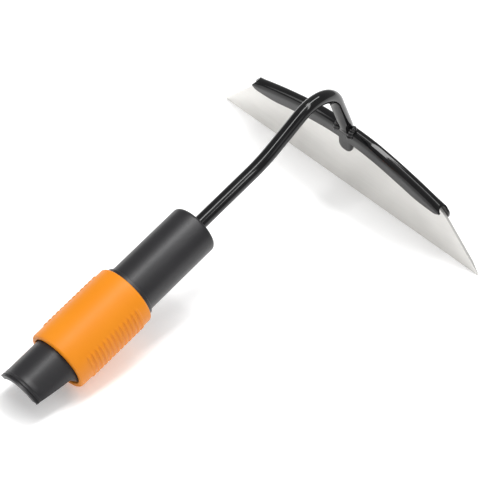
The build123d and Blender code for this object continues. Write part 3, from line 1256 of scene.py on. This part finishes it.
@dataclass
class LockWork:
    """The turned and bent pieces under the sleeve."""

    place: CouplingFrame
    plastic: bpy.types.Material
    bush_front: float = 55.3 * MM
    bush_step: float = 57.0 * MM
    bush_end: float = 64.5 * MM
    bush_bore: float = 17.25 * MM
    bush_flange: float = 19.9 * MM
    bush_radius: float = 18.55 * MM
    bush_round: float = 0.5 * MM
    small_round: float = 0.2 * MM
    wire: float = 0.8 * MM
    coil: float = 18.35 * MM
    coil_front: float = 27.85 * MM
    coil_back: float = 52.4 * MM
    coil_turns: float = 6.0

    def bush(self) -> bpy.types.Object:
        """Makes the black bush that runs on the body behind the sleeve.

        Returns:
            The piece.
        """
        small = self.small_round
        outline = rounded([
            (self.bush_front, self.bush_bore, small), (self.bush_front, self.bush_flange, small),
            (self.bush_step, self.bush_flange, small), (self.bush_step, self.bush_radius, 0.0),
            (self.bush_end, self.bush_radius, self.bush_round),
            (self.bush_end, self.bush_bore, small)])
        draft = turned_draft(self.place, outline, sides=128)
        piece = draft.piece("rear_bush", self.plastic)
        return place_piece(piece, Body.SLEEVE, Slot.BODY_PLASTIC, "guide_bush")

    def spring(self) -> bpy.types.Object:
        """Makes the return spring between the cam ring and the stop ring.

        Returns:
            The piece.
        """
        wire, coil, turns = self.wire, self.coil, self.coil_turns
        front, back = self.coil_front, self.coil_back
        steps, sides = 360, 12
        draft = MeshDraft()
        rows = []
        for step in range(steps + 1):
            share = step / steps
            angle = 2 * math.pi * turns * share
            rows.append(draft.row(
                self.place.round_point(front + (back - front) * share + wire * math.cos(side),
                                       coil + wire * math.sin(side), angle)
                for side in ring_turns(sides)))
        draft.tube(rows, self.place.round_point(front, coil, 0.0),
                   self.place.round_point(back, coil, 2 * math.pi * turns))
        piece = draft.piece("coil_spring", DrawnSteel("spring_wire").material(), smooth_below=50.0)
        start = self.place.point(front - wire, 0.0, 0.0)
        end = self.place.point(back + wire, 0.0, 0.0)
        tuple(start)
        tuple(end)
        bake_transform(piece)
        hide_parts("return_spring")
        LOG.info("piece %s shortens between the sleeve and the head", piece.name)
        return piece

    def dress_kept(self, nodes: dict[str, bpy.types.Object]) -> None:
        """Gives the hidden pieces whose plain shape is right their steel or plastic.

        Args:
            nodes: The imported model's nodes by name.
        """
        hard = DrawnSteel("hardened_lock_steel", (0.62, 0.62, 0.63), 0.16).material()
        bent = DrawnSteel("bent_ring_steel", (0.42, 0.42, 0.44), 0.32).material()
        balls = [name for name in nodes if name.startswith("latch_ball")]
        for name in [*balls, "cam_ring", "neck_pin"]:
            dress(nodes[name], hard)
        dress(nodes["retaining_ring"], bent)
        dress(nodes["neck_holder"], self.plastic)


def dress(node: bpy.types.Object, material: bpy.types.Material) -> None:
    """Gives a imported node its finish.

    Args:
        node: The node's object.
        material: The finish.
    """
    node.data.materials.clear()
    node.data.materials.append(material)
    LOG.info("node %s keeps its shape and takes %s", node.name, material.name)


# ---------------------------------------------------------------- studio


@dataclass
class Studio:
    """Plain pale floor, soft lights and the camera."""

    floor_tone: Colour = (0.93, 0.93, 0.93)
    floor_glow: float = 0.25
    surround: float = 0.38
    target: Vector = field(default_factory=lambda: Vector((0.01816, -0.01635, 0.04661)))
    azimuth: float = math.radians(-146.556)
    elevation: float = math.radians(42.88)
    distance: float = 1.4539
    roll: float = math.radians(12.08)
    lens: float = 172.5

    def floor(self) -> bpy.types.Object:
        """Makes the floor.

        Returns:
            The floor.
        """
        sheet = ShaderSheet("pale_floor")
        drift = sheet.noise(sheet.stretched((3.0, 3.0, 3.0)), 2.0)
        tone = sheet.spread(drift, (0.3, 0.0), (0.7, 1.0))
        colour = sheet.blend(tone, self.floor_tone, tuple(0.99 * part for part in self.floor_tone))
        material = sheet.finish(Base_Color=colour, Roughness=0.75, Emission_Color=colour,
                                Emission_Strength=self.floor_glow)
        draft = MeshDraft()
        size = 6.0
        corners = [(-size, -size), (size, -size), (size, size), (-size, size)]
        draft.faces.append(tuple(draft.row(Vector((x, y, 0.0)) for x, y in corners)))
        made = draft.piece("studio_floor", material)
        return made

    def light(self, name: str, spot: Sequence[float], aim: Sequence[float], size: Pair,
              power: float) -> None:
        """Adds one soft light.

        Args:
            name: Its name.
            spot: Where it stands.
            aim: Where it points.
            size: Its width and height.
            power: Its power in watts.
        """
        data = bpy.data.lights.new(name, "AREA")
        data.shape = "RECTANGLE"
        data.size, data.size_y = size
        data.energy = power
        made = bpy.data.objects.new(name, data)
        made.location = spot
        made.rotation_euler = (Vector(aim) - Vector(spot)).to_track_quat("-Z", "Y").to_euler()
        bpy.context.scene.collection.objects.link(made)

    def lights(self) -> None:
        """Adds the soft lights and the even surround."""
        self.light("overhead_softbox", (0.05, 0.0, 1.7), (0.0, 0.0, 0.0), (1.5, 1.2), 2.0)
        self.light("overhead_strip", (0.25, 0.05, 1.5), (0.25, 0.05, 0.0), (2.0, 0.28), 17.0)
        self.light("crosswise_strip", (0.25, -0.35, 1.5), (0.25, -0.35, 0.0), (0.20, 1.9), 8.0)
        self.light("side_softbox", (-0.9, 1.3, 0.9), (0.0, 0.0, 0.03), (0.9, 0.7), 4.0)
        self.light("front_fill", (-0.6, -1.6, 0.8), (0.05, 0.0, 0.03), (1.2, 0.8), 3.0)
        world = bpy.data.worlds.new("studio_surround")
        world.use_nodes = True
        backdrop = world.node_tree.nodes["Background"]
        backdrop.inputs["Color"].default_value = (1.0, 1.0, 1.0, 1.0)
        backdrop.inputs["Strength"].default_value = self.surround
        bpy.context.scene.world = world

    def camera(self) -> None:
        """Adds the camera at its angle, distance and roll."""
        back = Vector((math.cos(self.elevation) * math.cos(self.azimuth),
                       math.cos(self.elevation) * math.sin(self.azimuth),
                       math.sin(self.elevation)))
        data = bpy.data.cameras.new("camera")
        data.lens = self.lens
        data.clip_start = 0.05
        made = bpy.data.objects.new("camera", data)
        facing = (-back).to_track_quat("-Z", "Y").to_matrix()
        rolled = Matrix.Rotation(self.roll, 3, back) @ facing
        made.matrix_world = Matrix.Translation(self.target + back * self.distance) @ rolled.to_4x4()
        bpy.context.scene.collection.objects.link(made)
        bpy.context.scene.camera = made

    def build(self) -> None:
        """Sets up the floor, the lights and the camera."""
        bpy.context.scene.view_settings.view_transform = "Standard"
        self.floor()
        self.lights()
        self.camera()


def main() -> None:
    """Builds and dresses every piece, then the studio."""
    logging.basicConfig(level=logging.INFO, format="%(name)s: %(message)s")
    coupling = CouplingFrame.from_record(frame["record"])
    blade = BladeFrame(coupling)
    # The third colour of each plastic is the painted shade of its grooves.
    body_plastic = MouldedPlastic(
        "charcoal_plastic", base=(0.009, 0.0085, 0.0100), pale=(0.030, 0.029, 0.032),
        groove_shade=(0.003, 0.003, 0.003), roughness=0.40).material()
    sleeve_plastic = MouldedPlastic(
        "orange_plastic", base=(0.75, 0.230, 0.003), pale=(0.81, 0.285, 0.010),
        groove_shade=(0.40, 0.085, 0.001), roughness=0.45, grain=0.012 * MM, rub=0.25,
        ior=1.36).material()
    enamel = BlackEnamel().material()
    BladePlate(blade).build()
    FoldedSpine(blade, enamel).build()
    NeckRod(blade, enamel).build()
    WeldBeads(blade, enamel).build()
    CouplingBody(coupling, body_plastic).build()
    SlidingSleeve(coupling, sleeve_plastic).build()
    lock = LockWork(coupling, body_plastic)
    lock.bush()
    lock.spring()
    lock.dress_kept(frame["nodes"])
    Studio().build()


if __name__ == "__main__":
    main()
